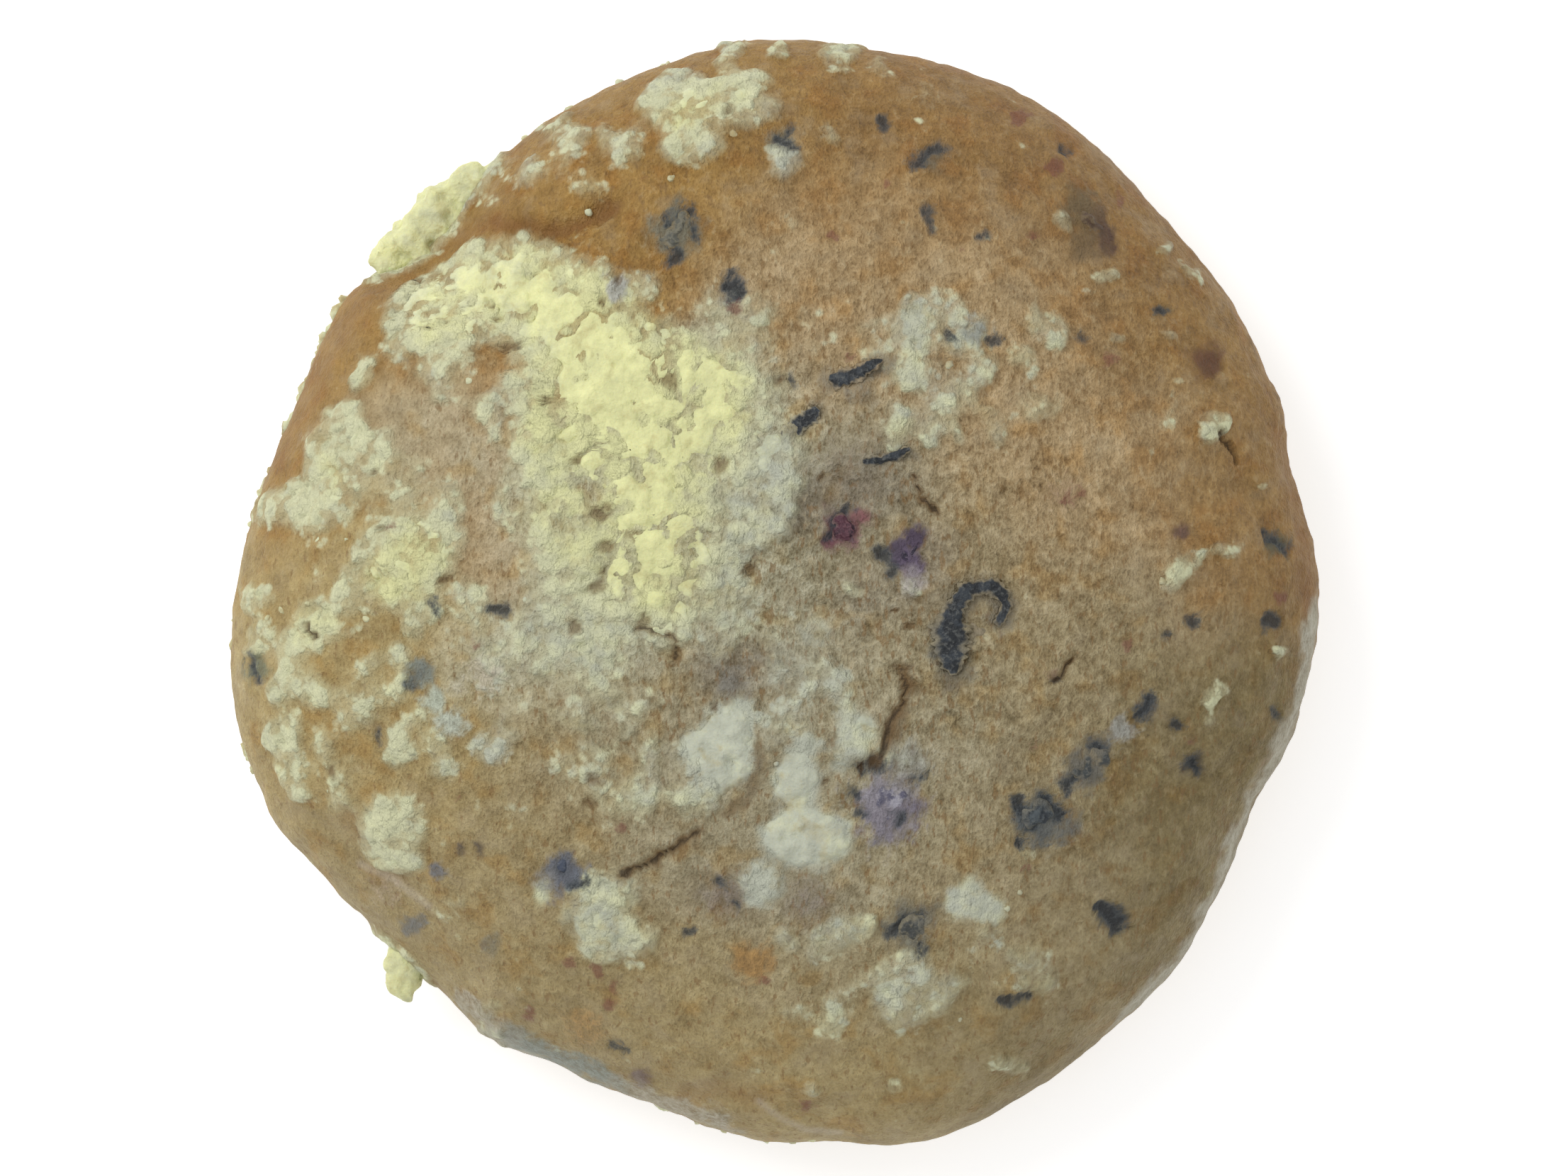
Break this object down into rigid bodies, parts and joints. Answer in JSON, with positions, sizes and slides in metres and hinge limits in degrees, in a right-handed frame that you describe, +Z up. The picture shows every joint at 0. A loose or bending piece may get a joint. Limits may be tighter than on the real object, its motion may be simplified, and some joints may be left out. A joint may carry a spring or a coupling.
{
  "type": "muffin top",
  "caption": "Round baked muffin top with a low domed brown crust, blueberries and lumps of butter crumble set in it, and a flat underside to rest on.",
  "frame": {"origin": "on the surface that the muffin top rests on, under the middle of its outline", "axes": "+Z up through the crust, +X to the right and +Y away, with the long band of crumble on the -X +Y side"},
  "size_m": [0.1021, 0.1042, 0.0297],
  "materials": {
    "crust": "browned cake crust, matt",
    "butter_crumble": "yellow butter crumble, matt and grainy",
    "pale_crumble": "pale crumble soaked by the cake, matt",
    "berry_skin": "baked blueberry skin, blue-black",
    "berry_flesh": "burst blueberry, purple"
  },
  "bodies": {
    "root": {"cake": "crust", "crumble_band": "butter_crumble", "crumble_left_upper": "butter_crumble", "crumble_left_lower": "butter_crumble", "crumble_top": "butter_crumble", "crumble_far_left": "butter_crumble", "crumble_rim_upper": "butter_crumble", "crumble_rim_lower": "butter_crumble", "crumble_band_edge": "pale_crumble", "crumble_centre_left": "pale_crumble", "crumble_centre": "pale_crumble", "crumble_centre_right": "pale_crumble", "crumble_lower_left": "pale_crumble", "crumble_low": "pale_crumble", "berry_ring": "berry_skin", "berry_red": "berry_flesh", "berry_purple": "berry_flesh", "berry_split": "berry_flesh", "berry_upper_right": "berry_skin", "berry_upper_left": "berry_skin", "berry_right": "berry_skin", "berry_lower_right": "berry_skin", "berry_low": "berry_skin", "berry_lower_left": "berry_skin"}
  },
  "joints": []
}
